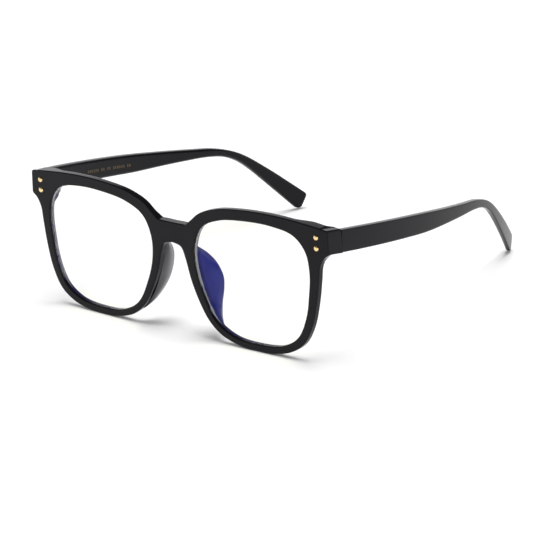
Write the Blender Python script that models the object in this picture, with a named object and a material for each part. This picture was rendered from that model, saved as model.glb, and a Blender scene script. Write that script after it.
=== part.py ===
"""Blue light glasses: a full acetate front with two lenses, moulded nose pads and two folding temples.

The wearer looks towards -Y, so the wearer's left side is +X. Lengths in this file are millimetres, and
each object is scaled to metres as it is made. Shapes are drawn with y = 0 on the front face at the bridge.
"""

from math import atan2, cos, pi, radians, sin, tan

import bmesh
import bpy
from mathutils import Matrix, Vector

MM = 0.001
HAIR = 0.05
SIDES = {"left": 1, "right": -1}

# Whole object
OVERALL_DEPTH = 145.92
FLOOR_Z = 1.6

# Front
BOW_RADIUS = 1295.0
RIM_DEPTH = 2.8
BRIDGE_DEPTH = 3.9
EDGE_RADIUS = 0.7
BRIDGE_FADE = (4.0, 11.0)
END_PIECE_BACK = 6.4
END_PIECE_BOTTOM = 44.6
END_PIECE_FADE = (57.0, 61.5)
END_PIECE_RISE = (-3.5, -0.5)
ARM_BACK = 9.4
ARM_INNER_X = 68.9
ARM_BOTTOM = 44.9
ARM_FLARE = 0.1
ARM_FLARE_START = 2.0
SIDE_SLOPE = 0.157
SIDE_SLOPE_START = 1.5

# Lenses
LENS_DEPTH = 1.3
LENS_MIDDLE = 1.45
LENS_DOME = 0.6
LENS_STEP = -0.15
GROOVE_REACH = 0.55
GROOVE_HALF_WIDTH = 0.42
GROOVE_CLEARANCE = 0.08
LENS_CENTRE = (36.8, 28.4)

# Temples
TEMPLE_START = 9.5
TEMPLE_THICKNESS = 3.8
TIP_THICKNESS = 2.6
TIP_TAPER = (95.0, 140.0)
TEMPLE_OUTER_X = 72.1
TEMPLE_SPREAD = 0.115
TEMPLE_CURL = 0.00145
TEMPLE_TIP_CURL = 1.82e-6
TEMPLE_EDGE_RADIUS = 0.75
TEMPLE_SLICE = 8.0

# Hinges
HINGE_X = 67.0
HINGE_Y = 9.9
HINGE_BOTTOM = 44.9
KNUCKLES = 5
KNUCKLE_HEIGHT = 1.3
HINGE_TOP = HINGE_BOTTOM + KNUCKLES * KNUCKLE_HEIGHT
KNUCKLE_RADIUS = 1.6
KNUCKLE_GAP = 0.08
PIN_RADIUS = 0.65
PIN_HOLE_RADIUS = 0.73
LEAF_THICKNESS = 0.9
FRONT_LEAF_X = (61.9, 68.3)
FRONT_WEB_HALF_WIDTH = 1.1
TEMPLE_LEAF_MARGIN = 0.35
TEMPLE_LEAF_END = 15.9
HINGE_HEAD_RADIUS = 1.25
HINGE_HEAD_HEIGHT = 0.55
HINGE_HEAD_BEVEL = 0.2
SLOT_HALF_WIDTH = 0.18
SLOT_DEPTH = 0.25
HOLE_SPARE = 2.0

# Rivets and screws
RIVET_X = 67.0
RIVET_HEIGHTS = {"upper": 50.6, "lower": 46.5}
RIVET_HEAD_RADIUS = 1.08
RIVET_HEAD_HEIGHT = 0.75
RIVET_SHANK_RADIUS = 0.6
FIT_GAP = 0.06
SCREW_Y = 14.0
SCREW_SPOTS = {"upper": 1.6, "lower": -1.6}
SCREW_HEAD_RADIUS = 0.9
SCREW_HEAD_HEIGHT = 0.4
SCREW_SHANK_RADIUS = 0.55
SCREW_REACH = 2.3

# Lens opening of the wearer's left rim, as (x, z) points on a smooth closed curve
OPENING = [
    (63.2, 36.5), (62.7, 28.5), (61.0, 18.8), (57.0, 10.4), (49.5, 5.7), (38.5, 4.4), (27.5, 5.4),
    (19.0, 10.2), (13.6, 19.6), (10.5, 29.5), (10.6, 38.0), (14.2, 45.5), (22.5, 49.6), (34.0, 51.3),
    (46.5, 51.4), (56.5, 49.4), (61.6, 44.2),
]

# Outer edge of the same half, from the top of the bridge to its underside: smooth stretches between corners
BRIDGE_TOP = [(0.0, 45.3), (6.5, 45.4)]
BROW = [
    (6.5, 45.4), (9.6, 47.9), (12.8, 50.6), (17.0, 52.6), (23.0, 54.3), (33.0, 55.5), (44.0, 55.9),
    (56.0, 55.4), (71.9, 53.8),
]
END_SIDE = [(71.9, 53.8), (72.2, 44.6)]
OUTER_RIM = [
    (72.2, 44.6), (69.9, 42.8), (68.1, 39.5), (67.3, 33.8), (66.0, 25.0), (63.4, 15.0), (59.2, 7.8),
    (53.0, 3.8), (46.0, 2.0), (42.0, 1.6),
]
RIM_BOTTOM = [(42.0, 1.6), (33.0, 1.6)]
NOSE_SIDE = [
    (33.0, 1.6), (27.0, 2.8), (21.6, 4.8), (16.0, 9.3), (11.4, 16.6), (8.2, 24.1), (5.8, 32.4), (4.0, 36.3),
    (0.0, 37.4),
]
NOTCH_RADIUS = 1.2
END_RADIUS = 1.2

# Nose pad: its crest as (z, x, y), and the rim's middle line that it grows from as (z, x)
PAD_CREST = [
    (36.4, 7.4, 4.8), (34.5, 8.2, 7.2), (32.0, 9.2, 9.8), (28.0, 10.8, 12.4), (22.5, 12.6, 13.6),
    (18.0, 13.5, 12.4), (14.0, 14.5, 9.9), (10.0, 16.4, 7.0), (7.6, 18.0, 5.0),
]
PAD_FOOT = [(36.4, 7.2), (30.0, 8.7), (22.0, 11.0), (14.0, 14.6), (7.6, 19.3)]
PAD_THICKNESS = 2.7
PAD_CREST_RADIUS = 1.15
PAD_STATIONS = 15
PAD_SEAT_HALF_WIDTH = 1.5

# Temple side view, as (y, z) points from the hinge to the tip
TEMPLE_TOP = [
    (9.5, 52.4), (22.0, 50.6), (46.0, 46.9), (60.0, 44.6), (75.0, 41.9), (92.0, 38.8), (103.0, 36.7),
    (111.2, 34.0), (117.8, 30.6), (129.7, 21.7), (141.3, 11.9), (146.2, 7.6),
]
TEMPLE_BOTTOM = [
    (142.7, 0.925), (131.6, 12.6), (119.6, 24.6), (114.0, 28.9), (107.5, 32.0), (99.0, 33.8), (88.0, 34.8),
    (75.0, 35.8), (60.0, 37.0), (46.0, 38.8), (22.0, 42.0), (9.5, 43.7),
]
TIP_RADIUS = 1.2


# ---------------------------------------------------------------- plane curves


def smooth_curve(knots, steps, closed=False):
    """Points on a Catmull-Rom curve through the knots, with this many steps between two knots."""
    knots = [Vector(knot) for knot in knots]
    count = len(knots)
    spans = count if closed else count - 1
    points = []
    for i in range(spans):
        b, c = knots[i], knots[(i + 1) % count]
        a = knots[i - 1] if closed or i else b * 2 - c
        d = knots[(i + 2) % count] if closed or i < spans - 1 else c * 2 - b
        points += [blend(a, b, c, d, step / steps) for step in range(steps)]
    return points if closed else points + [knots[-1]]


def blend(a, b, c, d, t):
    """The point at t between b and c on the curve whose tangents come from the knots on either side."""
    before, span, after = (b - a).length ** 0.5, (c - b).length ** 0.5, (d - c).length ** 0.5
    leaving = ((b - a) / before - (c - a) / (before + span) + (c - b) / span) * span
    arriving = ((c - b) / span - (d - b) / (span + after) + (d - c) / after) * span
    t2, t3 = t * t, t * t * t
    ends = b * (2 * t3 - 3 * t2 + 1) + c * (3 * t2 - 2 * t3)
    return ends + leaving * (t3 - 2 * t2 + t) + arriving * (t3 - t2)


def cut_back(points, distance):
    """The points without their last stretch of this length, ending on the point where it began."""
    points = list(points)
    while len(points) > 2 and (points[-1] - points[-2]).length <= distance:
        distance -= (points[-1] - points[-2]).length
        points.pop()
    points[-1] = points[-1] + (points[-2] - points[-1]).normalized() * distance
    return points


def join_with_fillet(first, second, radius, steps=4):
    """Two stretches that meet at a corner, joined with a round of about this radius."""
    corner = first[-1]
    arriving, leaving = corner - first[-2], second[1] - corner
    length = radius * tan(abs(arriving.angle(leaving)) / 2)
    first = cut_back(first, length)
    second = list(reversed(cut_back(list(reversed(second)), length)))
    start, end = first[-1], second[0]
    arc = []
    for step in range(1, steps):
        t = step / steps
        arc.append(start * (1 - t) ** 2 + corner * 2 * t * (1 - t) + end * t**2)
    return first + arc + second


def front_outline(steps=3):
    """The closed outer edge of the front, both halves."""
    half = join_with_fillet(smooth_curve(BRIDGE_TOP, 2), smooth_curve(BROW, steps), NOTCH_RADIUS)
    half = join_with_fillet(half, smooth_curve(END_SIDE, 2), END_RADIUS)
    half = join_with_fillet(half, smooth_curve(OUTER_RIM, steps), END_RADIUS)
    half += smooth_curve(RIM_BOTTOM, 2)[1:] + smooth_curve(NOSE_SIDE, steps)[1:]
    other = [Vector((-p.x, p.y)) for p in reversed(half[1:-1])]
    return half + other


def temple_outline(steps=3):
    """The closed side view of a temple, as (y, z) points."""
    top = smooth_curve(TEMPLE_TOP, steps)
    tip = [Vector(TEMPLE_TOP[-1]), Vector(TEMPLE_BOTTOM[0])]
    outline = join_with_fillet(top, tip, TIP_RADIUS)
    return join_with_fillet(outline, smooth_curve(TEMPLE_BOTTOM, steps), TIP_RADIUS)


# ---------------------------------------------------------------- form of the front and the temples


def ease(value, start, end):
    """0 below start, 1 above end, and a smooth step between them."""
    t = min(max((value - start) / (end - start), 0.0), 1.0)
    return t * t * (3 - 2 * t)


def front_face_y(x):
    return x * x / (2 * BOW_RADIUS)


def in_arm(x, z):
    """Whether a point belongs to the arm that runs back from an end piece to its temple."""
    return abs(x) > ARM_INNER_X - HAIR and z > ARM_BOTTOM - HAIR


def front_back_y(x, z):
    """Where the back of the front is: further back at the bridge, the end pieces and their arms."""
    x = abs(x)
    if in_arm(x, z):
        return ARM_BACK
    rim = front_face_y(x) + RIM_DEPTH + (BRIDGE_DEPTH - RIM_DEPTH) * (1 - ease(x, *BRIDGE_FADE))
    end_piece = ease(x, *END_PIECE_FADE) * ease(z - END_PIECE_BOTTOM, *END_PIECE_RISE)
    return rim + (END_PIECE_BACK - rim) * end_piece


def shape_front_point(point):
    """Bows the flat plate, and gives its back and its arms their depth."""
    x, y, z = point
    y = front_face_y(x) + y if y < RIM_DEPTH / 2 else front_back_y(x, z) - (RIM_DEPTH - y)
    if in_arm(x, z):
        z -= SIDE_SLOPE * max(0.0, y - SIDE_SLOPE_START)
        x *= 1 + ARM_FLARE * max(0.0, y - ARM_FLARE_START) / abs(x)
    return Vector((x, y, z))


def temple_outer_x(y):
    run = y - ARM_FLARE_START
    return TEMPLE_OUTER_X + TEMPLE_SPREAD * run - TEMPLE_CURL * run**2 - TEMPLE_TIP_CURL * run**3


def temple_thickness(y):
    return TEMPLE_THICKNESS + (TIP_THICKNESS - TEMPLE_THICKNESS) * ease(y, *TIP_TAPER)


def temple_inner_x(y):
    return temple_outer_x(y) - temple_thickness(y)


# ---------------------------------------------------------------- Blender helpers


def clear_scene():
    for obj in list(bpy.data.objects):
        bpy.data.objects.remove(obj, do_unlink=True)


def new_collection(name):
    collection = bpy.data.collections.new(name)
    bpy.context.scene.collection.children.link(collection)
    return collection


def new_material(name, colour, roughness, metallic=0.0, alpha=1.0):
    material = bpy.data.materials.new(name)
    material.use_nodes = True
    shader = material.node_tree.nodes["Principled BSDF"]
    shader.inputs["Base Color"].default_value = (*colour, 1.0)
    shader.inputs["Roughness"].default_value = roughness
    shader.inputs["Metallic"].default_value = metallic
    shader.inputs["Alpha"].default_value = alpha
    material.diffuse_color = (*colour, alpha)
    return material


def new_object(name, bm, collection, material=None, pivot=None):
    """An object from a bmesh in millimetres. Its origin goes to the pivot, also in millimetres."""
    pivot = Vector(pivot or (0, OVERALL_DEPTH / 2, FLOOR_Z))
    bmesh.ops.transform(bm, matrix=Matrix.Scale(MM, 4) @ Matrix.Translation(-pivot), verts=bm.verts)
    mesh = bpy.data.meshes.new(name)
    bm.to_mesh(mesh)
    bm.free()
    mesh.shade_smooth()
    mesh.set_sharp_from_angle(angle=radians(35))
    obj = bpy.data.objects.new(name, mesh)
    collection.objects.link(obj)
    obj.location = (pivot - Vector((0, OVERALL_DEPTH / 2, FLOOR_Z))) * MM
    if material:
        mesh.materials.append(material)
    return obj


def extruded(outlines, depth, edge_radius=0.0, rings=1):
    """A bmesh of the area inside the closed outlines, from z = 0 to z = depth, with rounded edges."""
    data = bpy.data.curves.new("outline", "CURVE")
    data.dimensions = "2D"
    data.fill_mode = "BOTH"
    data.extrude = depth / 2 - edge_radius
    data.bevel_depth = edge_radius
    data.bevel_resolution = rings
    data.offset = -edge_radius
    for outline in outlines:
        spline = data.splines.new("POLY")
        spline.points.add(len(outline) - 1)
        for point, place in zip(spline.points, outline):
            point.co = (place[0], place[1], 0, 1)
        spline.use_cyclic_u = True
    curve = bpy.data.objects.new("outline", data)
    bpy.context.scene.collection.objects.link(curve)
    graph = bpy.context.evaluated_depsgraph_get()
    mesh = bpy.data.meshes.new_from_object(curve.evaluated_get(graph))
    bm = bmesh.new()
    bm.from_mesh(mesh)
    bpy.data.meshes.remove(mesh)
    bpy.data.objects.remove(curve, do_unlink=True)
    bmesh.ops.remove_doubles(bm, verts=bm.verts, dist=0.002)
    bmesh.ops.translate(bm, vec=(0, 0, depth / 2), verts=bm.verts)
    bmesh.ops.recalc_face_normals(bm, faces=bm.faces)
    return bm


def slice_along(bm, axis, places):
    """Cuts every face at these places along an axis, so that the shape can bend there."""
    normal = Vector((0, 0, 0))
    normal[axis] = 1
    for place in places:
        geometry = bm.verts[:] + bm.edges[:] + bm.faces[:]
        bmesh.ops.bisect_plane(bm, geom=geometry, dist=1e-4, plane_co=normal * place, plane_no=normal)


def spaced(start, end, count=3):
    """This many evenly spaced places from start to end."""
    return [start + (end - start) * i / (count - 1) for i in range(count)]


def loft(loops):
    """A bmesh whose skin runs through closed loops of as many points each, with flat ends."""
    bm = bmesh.new()
    rings = [[bm.verts.new(point) for point in loop] for loop in loops]
    count = len(rings[0])
    for near, far in zip(rings, rings[1:]):
        for i in range(count):
            j = (i + 1) % count
            bm.faces.new((near[i], near[j], far[j], far[i]))
    bm.faces.new(list(reversed(rings[0])))
    bm.faces.new(rings[-1])
    bmesh.ops.recalc_face_normals(bm, faces=bm.faces)
    return bm


def block(low, high):
    bm = bmesh.new()
    size = Vector(high) - Vector(low)
    centre = (Vector(high) + Vector(low)) / 2
    matrix = Matrix.Translation(centre) @ Matrix.Diagonal((*size, 1))
    bmesh.ops.create_cube(bm, size=1, matrix=matrix)
    return bm


def cylinder(start, end, radius, segments=20):
    bm = bmesh.new()
    start, end = Vector(start), Vector(end)
    along = end - start
    turn = along.to_track_quat("Z", "Y").to_matrix().to_4x4()
    matrix = Matrix.Translation((start + end) / 2) @ turn
    ends = {"radius1": radius, "radius2": radius, "cap_ends": True}
    bmesh.ops.create_cone(bm, segments=segments, depth=along.length, matrix=matrix, **ends)
    return bm


def turned(profile, base, direction, segments=20):
    """A bmesh turned about the line from base along direction. The profile is (radius, distance) points."""
    turn = Vector(direction).to_track_quat("Z", "Y").to_matrix().to_4x4()
    place = Matrix.Translation(Vector(base)) @ turn
    loops = []
    for radius, height in profile:
        ring = [Vector((radius * cos(a), radius * sin(a), height)) for a in angles(segments)]
        loops.append([place @ point for point in ring])
    return loft(loops)


def angles(segments):
    return [2 * pi * i / segments for i in range(segments)]


def dome_profile(radius, height, shank_radius, shank_end, rings=4):
    """Profile of a round-headed pin: a dome from -height up to 0, and a shank that goes on to shank_end."""
    turns = [pi / 2 * (i + 0.35) / rings for i in range(rings)]
    dome = [(radius * sin(turn), -height * cos(turn)) for turn in turns]
    return dome + [(radius, 0.0), (shank_radius, 0.0), (shank_radius, shank_end)]


def mirrored(bm, side):
    """The same bmesh, or its mirror image for the wearer's right."""
    if side < 0:
        bmesh.ops.transform(bm, matrix=Matrix.Diagonal((-1, 1, 1, 1)), verts=bm.verts)
        bmesh.ops.reverse_faces(bm, faces=bm.faces)
    return bm


def add_boolean(obj, other, operation):
    other.hide_render = True
    other.display_type = "WIRE"
    modifier = obj.modifiers.new(f"{operation.lower()} {other.name}", "BOOLEAN")
    modifier.operation = operation
    modifier.solver = "EXACT"
    modifier.object = other
    return modifier


# ---------------------------------------------------------------- pieces


def opening_outline(side=1, reach=0.0, steps=3):
    """The lens opening, grown outwards by reach."""
    points = smooth_curve(OPENING, steps, closed=True)
    grown = []
    for i, point in enumerate(points):
        along = points[(i + 1) % len(points)] - points[i - 1]
        normal = Vector((along.y, -along.x)).normalized()
        if normal.dot(point - Vector(LENS_CENTRE)) < 0:
            normal.negate()
        grown.append(point + normal * reach)
    return [Vector((side * p.x, p.y)) for p in grown]


def lens_loops(clearance):
    """Loops across a lens with a bevelled edge: over its front, round its edge and back over its rear."""
    centre = Vector(LENS_CENTRE)
    half, edge = LENS_DEPTH / 2 + clearance, GROOVE_HALF_WIDTH + clearance
    stops = [(share, None, -half) for share in (0.03, 0.45, 0.8)]
    stops += [(1.0, LENS_STEP, -half), (1.0, LENS_STEP, -edge), (1.0, GROOVE_REACH + clearance, 0.0)]
    stops += [(1.0, LENS_STEP, edge), (1.0, LENS_STEP, half)]
    stops += [(share, None, half) for share in (0.8, 0.45, 0.03)]
    loops = []
    for share, reach, depth in stops:
        ring = opening_outline(reach=LENS_STEP if reach is None else reach)
        loop = []
        for point in ring:
            place = centre + (point - centre) * share
            dome = -LENS_DOME * (1 - share**2)
            loop.append(Vector((place.x, front_face_y(place.x) + LENS_MIDDLE + depth + dome, place.y)))
        loops.append(loop)
    return loops


def make_front(parts, cutters, materials):
    outlines = [front_outline(), opening_outline(1), opening_outline(-1)]
    bm = extruded(outlines, RIM_DEPTH, EDGE_RADIUS)
    stand_up = Matrix(((1, 0, 0, 0), (0, 0, -1, RIM_DEPTH), (0, 1, 0, 0), (0, 0, 0, 1)))
    bmesh.ops.transform(bm, matrix=stand_up, verts=bm.verts)
    stations = spaced(*BRIDGE_FADE) + spaced(*END_PIECE_FADE) + [ARM_INNER_X - 0.4, ARM_INNER_X]
    slice_along(bm, 0, [0.0] + stations + [-x for x in stations])
    rises = spaced(*END_PIECE_RISE) + [0.0]
    slice_along(bm, 2, [END_PIECE_BOTTOM + rise for rise in rises] + [ARM_BOTTOM])
    for vert in bm.verts:
        vert.co = shape_front_point(vert.co)
    bmesh.ops.triangulate(bm, faces=bm.faces)
    front = new_object("front_frame", bm, parts, materials["acetate"])
    for side_name, side in SIDES.items():
        groove = mirrored(loft(lens_loops(GROOVE_CLEARANCE)), side)
        add_boolean(front, new_object(f"groove_cutter_{side_name}", groove, cutters), "DIFFERENCE")
        for height_name, z in RIVET_HEIGHTS.items():
            start, end = (side * RIVET_X, -HOLE_SPARE, z), (side * RIVET_X, ARM_BACK, z)
            hole = cylinder(start, end, RIVET_SHANK_RADIUS + FIT_GAP, 16)
            cutter = new_object(f"rivet_cutter_{height_name}_{side_name}", hole, cutters)
            add_boolean(front, cutter, "DIFFERENCE")
    return front


def make_lens(side_name, side, parts, materials):
    bm = mirrored(loft(lens_loops(0.0)), side)
    return new_object(f"lens_{side_name}", bm, parts, materials["lens"])


def at_height(table, z):
    """The row of a table of (z, ...) rows, smoothly between its rows, for this z."""
    return min(smooth_curve(table, 8), key=lambda row: abs(row[0] - z))


def pad_section(crest, foot_x, back_y):
    """A pad's level section at one height: from the rim's back out to the rounded crest and back."""
    foot = Vector((foot_x, back_y))
    tip = Vector((crest[1], crest[2]))
    along = (tip - foot).normalized()
    across = Vector((along.y, -along.x))
    reach = max((tip - foot).length - PAD_CREST_RADIUS, 0.3)
    centre = foot + along * reach
    half = PAD_THICKNESS / 2
    start = atan2(across.y, across.x)
    points = [foot + Vector((half, 0)), foot + along * reach * 0.5 + across * (half + PAD_CREST_RADIUS) / 2]
    for step in range(7):
        angle = start + pi * step / 6
        points.append(centre + Vector((cos(angle), sin(angle))) * PAD_CREST_RADIUS)
    points += [foot + along * reach * 0.5 - across * (half + PAD_CREST_RADIUS) / 2, foot - Vector((half, 0))]
    return [Vector((p.x, max(p.y, back_y), crest[0])) for p in points]


def make_nose_pad(side_name, side, parts, materials):
    loops = []
    low, high = PAD_CREST[-1][0], PAD_CREST[0][0]
    for i in range(PAD_STATIONS):
        z = low + (high - low) * i / (PAD_STATIONS - 1)
        crest = at_height(PAD_CREST, z)
        foot = at_height(PAD_FOOT, z)
        seat = (foot[1] - PAD_SEAT_HALF_WIDTH, foot[1] + PAD_SEAT_HALF_WIDTH)
        back_y = max(front_back_y(x, z) for x in seat)
        loop = pad_section(crest, foot[1], back_y + FIT_GAP)
        loops.append([Vector((p.x, p.y, z)) for p in loop])
    bm = mirrored(loft(loops), side)
    bmesh.ops.triangulate(bm, faces=bm.faces)
    return new_object(f"nose_pad_{side_name}", bm, parts, materials["pad"])


def make_front_rivet(height_name, z, side_name, side, parts, materials):
    face = front_face_y(RIVET_X) - FIT_GAP
    end = END_PIECE_BACK + FIT_GAP + LEAF_THICKNESS - face - 0.1
    profile = dome_profile(RIVET_HEAD_RADIUS, RIVET_HEAD_HEIGHT, RIVET_SHANK_RADIUS, end)
    bm = turned(profile, (side * RIVET_X, face, z), (0, 1, 0), 20)
    return new_object(f"front_rivet_{height_name}_{side_name}", bm, parts, materials["gold"])


def knuckle(index):
    """One barrel of the hinge, as a bmesh, and its lowest and highest z."""
    low = HINGE_BOTTOM + index * KNUCKLE_HEIGHT + KNUCKLE_GAP / 2
    high = low + KNUCKLE_HEIGHT - KNUCKLE_GAP
    return cylinder((HINGE_X, HINGE_Y, low), (HINGE_X, HINGE_Y, high), KNUCKLE_RADIUS), low, high


def hinge_leaf(name, plate, members, side, pivot, parts, cutters, materials, holes):
    """A leaf: its plate with barrels and webs joined to it, and the pin's and fasteners' holes cut."""
    leaf = new_object(name, mirrored(plate, side), parts, materials["steel"], pivot)
    for i, member in enumerate(members):
        add_boolean(leaf, new_object(f"{name}_member_{i}", mirrored(member, side), cutters), "UNION")
    pin = cylinder(
        (HINGE_X, HINGE_Y, HINGE_BOTTOM - HOLE_SPARE),
        (HINGE_X, HINGE_Y, HINGE_TOP + HOLE_SPARE),
        PIN_HOLE_RADIUS,
    )
    for i, hole in enumerate([pin] + holes):
        add_boolean(leaf, new_object(f"{name}_hole_{i}", mirrored(hole, side), cutters), "DIFFERENCE")
    return leaf


def make_front_leaf(side_name, side, parts, cutters, materials):
    near, far = END_PIECE_BACK + FIT_GAP, END_PIECE_BACK + FIT_GAP + LEAF_THICKNESS
    low, high = HINGE_BOTTOM + KNUCKLE_GAP / 2, HINGE_TOP - KNUCKLE_GAP / 2
    plate = block((FRONT_LEAF_X[0], near, low), (FRONT_LEAF_X[1], far, high))
    members = []
    for index in range(0, KNUCKLES, 2):
        barrel, low, high = knuckle(index)
        start = (HINGE_X - FRONT_WEB_HALF_WIDTH, far - LEAF_THICKNESS / 3, low)
        end = (HINGE_X + FRONT_WEB_HALF_WIDTH, HINGE_Y - KNUCKLE_RADIUS / 3, high)
        web = block(start, end)
        members += [barrel, web]
    holes = []
    for z in RIVET_HEIGHTS.values():
        start, end = (RIVET_X, near - HOLE_SPARE, z), (RIVET_X, far - FIT_GAP / 3, z)
        holes.append(cylinder(start, end, RIVET_SHANK_RADIUS + FIT_GAP, 16))
    name = f"hinge_front_leaf_{side_name}"
    return hinge_leaf(name, plate, members, side, None, parts, cutters, materials, holes)


def leaf_inner_x(y):
    """The face of the temple leaf that looks inwards."""
    return temple_inner_x(y) - FIT_GAP - LEAF_THICKNESS


def make_temple_leaf(side_name, side, pivot, parts, cutters, materials):
    """The plate lies along the temple's inner face, and two webs reach from it to the barrels."""
    near, far = HINGE_Y + KNUCKLE_RADIUS + TEMPLE_LEAF_MARGIN, TEMPLE_LEAF_END
    low, high = HINGE_BOTTOM + TEMPLE_LEAF_MARGIN, HINGE_TOP - TEMPLE_LEAF_MARGIN
    plate = block((0.0, near, low), (LEAF_THICKNESS, far, high))
    slice_along(plate, 1, [(near + far) / 2])
    for vert in plate.verts:
        vert.co.x += leaf_inner_x(vert.co.y)
        vert.co.z -= SIDE_SLOPE * (vert.co.y - TEMPLE_START)
    members = []
    for index in range(1, KNUCKLES, 2):
        barrel, low, high = knuckle(index)
        inner = leaf_inner_x(near + 0.4)
        web = block((inner - 0.55, HINGE_Y, low), (inner + LEAF_THICKNESS - 0.25, near + 0.5, high))
        members += [barrel, web]
    holes = []
    for rise in SCREW_SPOTS.values():
        z = screw_height(rise)
        start = (leaf_inner_x(SCREW_Y) - HOLE_SPARE, SCREW_Y, z)
        end = (temple_inner_x(SCREW_Y) + HOLE_SPARE, SCREW_Y, z)
        holes.append(cylinder(start, end, SCREW_SHANK_RADIUS + FIT_GAP, 16))
    name = f"hinge_temple_leaf_{side_name}"
    return hinge_leaf(name, plate, members, side, pivot, parts, cutters, materials, holes)


def screw_height(rise):
    return (HINGE_BOTTOM + HINGE_TOP) / 2 - SIDE_SLOPE * (SCREW_Y - TEMPLE_START) + rise


def make_hinge_screw(side_name, side, parts, cutters, materials):
    barrels = HINGE_TOP - HINGE_BOTTOM
    top = HINGE_TOP + HAIR
    profile = [
        (HINGE_HEAD_RADIUS - HINGE_HEAD_BEVEL, -HINGE_HEAD_HEIGHT),
        (HINGE_HEAD_RADIUS, HINGE_HEAD_BEVEL - HINGE_HEAD_HEIGHT),
        (HINGE_HEAD_RADIUS, 0.0),
        (PIN_RADIUS, 0.0),
        (PIN_RADIUS, barrels),
    ]
    bm = turned(profile, (side * HINGE_X, HINGE_Y, top), (0, 0, -1))
    screw = new_object(f"hinge_screw_{side_name}", bm, parts, materials["steel"])
    slot_floor = top + HINGE_HEAD_HEIGHT - SLOT_DEPTH
    start = (HINGE_X - HOLE_SPARE, HINGE_Y - SLOT_HALF_WIDTH, slot_floor)
    end = (HINGE_X + HOLE_SPARE, HINGE_Y + SLOT_HALF_WIDTH, slot_floor + HOLE_SPARE)
    slot = block(start, end)
    add_boolean(screw, new_object(f"slot_cutter_{side_name}", mirrored(slot, side), cutters), "DIFFERENCE")
    return screw


def make_temple(side_name, side, pivot, parts, cutters, materials):
    bm = extruded([temple_outline()], TEMPLE_THICKNESS, TEMPLE_EDGE_RADIUS)
    lay_on_side = Matrix(((0, 0, 1, 0), (1, 0, 0, 0), (0, 1, 0, 0), (0, 0, 0, 1)))
    bmesh.ops.transform(bm, matrix=lay_on_side, verts=bm.verts)
    slice_along(bm, 1, [TEMPLE_START + TEMPLE_SLICE * i for i in range(1, 17)])
    for vert in bm.verts:
        share = vert.co.x / TEMPLE_THICKNESS
        vert.co.x = temple_inner_x(vert.co.y) + share * temple_thickness(vert.co.y)
    bmesh.ops.triangulate(bm, faces=bm.faces)
    bmesh.ops.recalc_face_normals(bm, faces=bm.faces)
    temple = new_object(f"temple_{side_name}", mirrored(bm, side), parts, materials["acetate"], pivot)
    for spot, rise in SCREW_SPOTS.items():
        z = screw_height(rise)
        inner = temple_inner_x(SCREW_Y)
        start, end = (inner - HOLE_SPARE, SCREW_Y, z), (inner + SCREW_REACH + FIT_GAP, SCREW_Y, z)
        hole = cylinder(start, end, SCREW_SHANK_RADIUS + FIT_GAP, 16)
        cutter = new_object(f"screw_cutter_{spot}_{side_name}", mirrored(hole, side), cutters)
        add_boolean(temple, cutter, "DIFFERENCE")
    return temple


def make_temple_screw(spot, rise, side_name, side, pivot, parts, materials):
    face = leaf_inner_x(SCREW_Y) - FIT_GAP
    length = temple_inner_x(SCREW_Y) + SCREW_REACH - face
    profile = dome_profile(SCREW_HEAD_RADIUS, SCREW_HEAD_HEIGHT, SCREW_SHANK_RADIUS, length, 3)
    bm = mirrored(turned(profile, (face, SCREW_Y, screw_height(rise)), (1, 0, 0), 16), side)
    return new_object(f"temple_screw_{spot}_{side_name}", bm, parts, materials["steel"], pivot)


# ---------------------------------------------------------------- assembly


def make_pivot(name, pivot, collection):
    """An empty on a hinge's axis, which its temple's pieces hang from."""
    empty = bpy.data.objects.new(name, None)
    empty.empty_display_size = 0.01
    collection.objects.link(empty)
    empty.location = (Vector(pivot) - Vector((0, OVERALL_DEPTH / 2, FLOOR_Z))) * MM
    return empty


def hang(obj, empty):
    obj.location = obj.location - empty.location
    obj.parent = empty


def make_side(side_name, side, parts, cutters, materials):
    make_lens(side_name, side, parts, materials)
    make_nose_pad(side_name, side, parts, materials)
    for height_name, z in RIVET_HEIGHTS.items():
        make_front_rivet(height_name, z, side_name, side, parts, materials)
    make_front_leaf(side_name, side, parts, cutters, materials)
    make_hinge_screw(side_name, side, parts, cutters, materials)
    pivot = (side * HINGE_X, HINGE_Y, HINGE_BOTTOM)
    empty = make_pivot(f"temple_pivot_{side_name}", pivot, parts)
    moving = [
        make_temple(side_name, side, pivot, parts, cutters, materials),
        make_temple_leaf(side_name, side, pivot, parts, cutters, materials),
    ]
    for spot, rise in SCREW_SPOTS.items():
        moving.append(make_temple_screw(spot, rise, side_name, side, pivot, parts, materials))
    for obj in moving:
        hang(obj, empty)


def main():
    clear_scene()
    parts = new_collection("blue_light_glasses")
    cutters = new_collection("cutters")
    materials = {
        "acetate": new_material("black acetate", (0.012, 0.012, 0.013), 0.22),
        "pad": new_material("dark nose pad", (0.02, 0.02, 0.024), 0.3),
        "lens": new_material("clear coated lens", (0.93, 0.93, 0.88), 0.02, alpha=0.25),
        "gold": new_material("gold rivet", (0.83, 0.66, 0.33), 0.2, metallic=1.0),
        "steel": new_material("nickel silver", (0.62, 0.61, 0.58), 0.28, metallic=1.0),
    }
    make_front(parts, cutters, materials)
    for side_name, side in SIDES.items():
        make_side(side_name, side, parts, cutters, materials)


main()
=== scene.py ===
"""Looks of the blue light glasses: polished acetate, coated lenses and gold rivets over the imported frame.

Shapes repeat the part's own driving dimensions. Lengths are millimetres on the part's drawing, where y = 0 is
the front face at the bridge and the pair stands on z = FLOOR_Z. The wearer's left side is +X. Every piece is
scaled to metres and set down on the frame as it is made.
"""

from math import atan2, cos, pi, radians, sin, tan

import bmesh
import bpy
from mathutils import Matrix, Vector


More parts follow.
